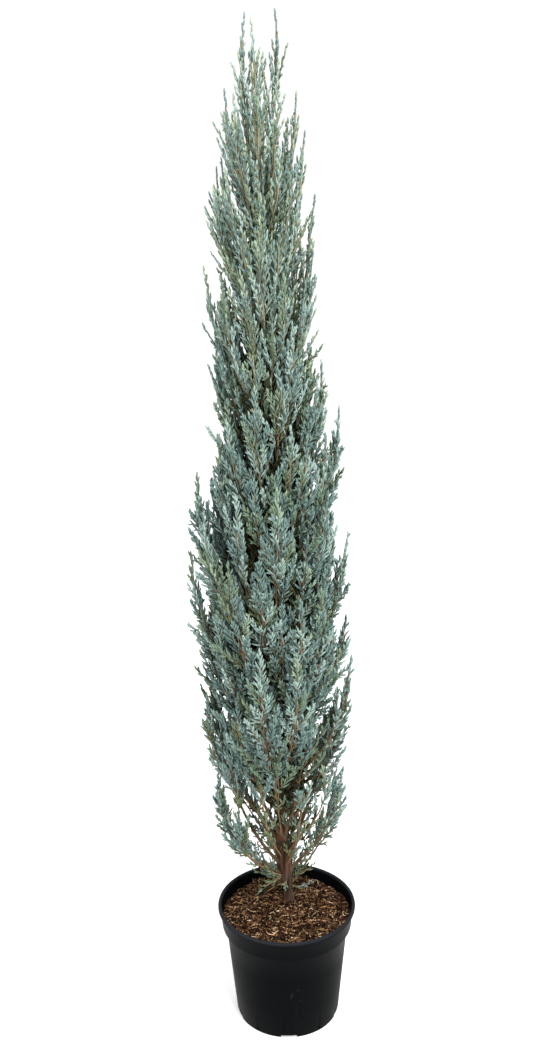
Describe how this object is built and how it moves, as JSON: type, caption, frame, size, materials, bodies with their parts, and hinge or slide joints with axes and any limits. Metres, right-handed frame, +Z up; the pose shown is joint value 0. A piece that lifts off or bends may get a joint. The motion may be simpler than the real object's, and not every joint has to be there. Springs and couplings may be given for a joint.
{
  "type": "potted rocky mountain juniper tree",
  "caption": "Narrow columnar blue-green juniper with upswept scale-leaf sprays, a short bare trunk and bare lower boughs, growing from brown potting mix in a black nursery pot.",
  "frame": {"origin": "middle of the pot's flat underside, on the ground", "axes": "+Z up along the tree, +X to the right and +Y to the back as the tree is seen from its front"},
  "size_m": [0.264, 0.2586, 1.658],
  "materials": {
    "pot_plastic": "black blow-moulded nursery pot, softly satin",
    "potting_mix": "loose brown bark fibre with paler chips, dull",
    "trunk_bark": "thin shredding reddish to grey-brown bark",
    "bough_bark": "young orange-brown bark",
    "foliage": "blue-green scale leaves with a waxy bloom, yellow-green at the tips"
  },
  "bodies": {
    "root": {"back_bough": "bough_bark", "back_foliage": "foliage", "back_left_bough": "bough_bark", "back_left_foliage": "foliage", "back_right_bough": "bough_bark", "back_right_foliage": "foliage", "inner_left_bough": "bough_bark", "inner_left_foliage": "foliage", "inner_right_bough": "bough_bark", "inner_right_foliage": "foliage", "leader_left_foliage": "foliage", "leader_middle_foliage": "foliage", "leader_right_foliage": "foliage", "left_bough": "bough_bark", "left_foliage": "foliage", "left_shoulder_foliage": "foliage", "low_left_bough": "bough_bark", "low_left_foliage": "foliage", "low_right_bough": "bough_bark", "low_right_foliage": "foliage", "pot": "pot_plastic", "right_bough": "bough_bark", "right_foliage": "foliage", "right_shoulder_foliage": "foliage", "shoot_left_bough": "bough_bark", "shoot_left_foliage": "foliage", "shoot_right_bough": "bough_bark", "shoot_right_foliage": "foliage", "soil": "potting_mix", "spire_01_foliage": "foliage", "spire_02_foliage": "foliage", "spire_03_foliage": "foliage", "spire_04_foliage": "foliage", "spire_05_foliage": "foliage", "spire_06_foliage": "foliage", "spire_07_foliage": "foliage", "spire_08_foliage": "foliage", "spire_09_foliage": "foliage", "spire_10_foliage": "foliage", "spire_11_foliage": "foliage", "spire_12_foliage": "foliage", "spire_13_foliage": "foliage", "spire_14_foliage": "foliage", "spire_15_foliage": "foliage", "spire_16_foliage": "foliage", "spire_17_foliage": "foliage", "spire_18_foliage": "foliage", "spire_19_foliage": "foliage", "spire_20_foliage": "foliage", "spire_21_foliage": "foliage", "spire_22_foliage": "foliage", "spire_23_foliage": "foliage", "spire_24_foliage": "foliage", "spire_25_foliage": "foliage", "spire_26_foliage": "foliage", "spire_27_foliage": "foliage", "trunk": "trunk_bark", "upper_left_bough": "bough_bark", "upper_left_foliage": "foliage"}
  },
  "joints": []
}
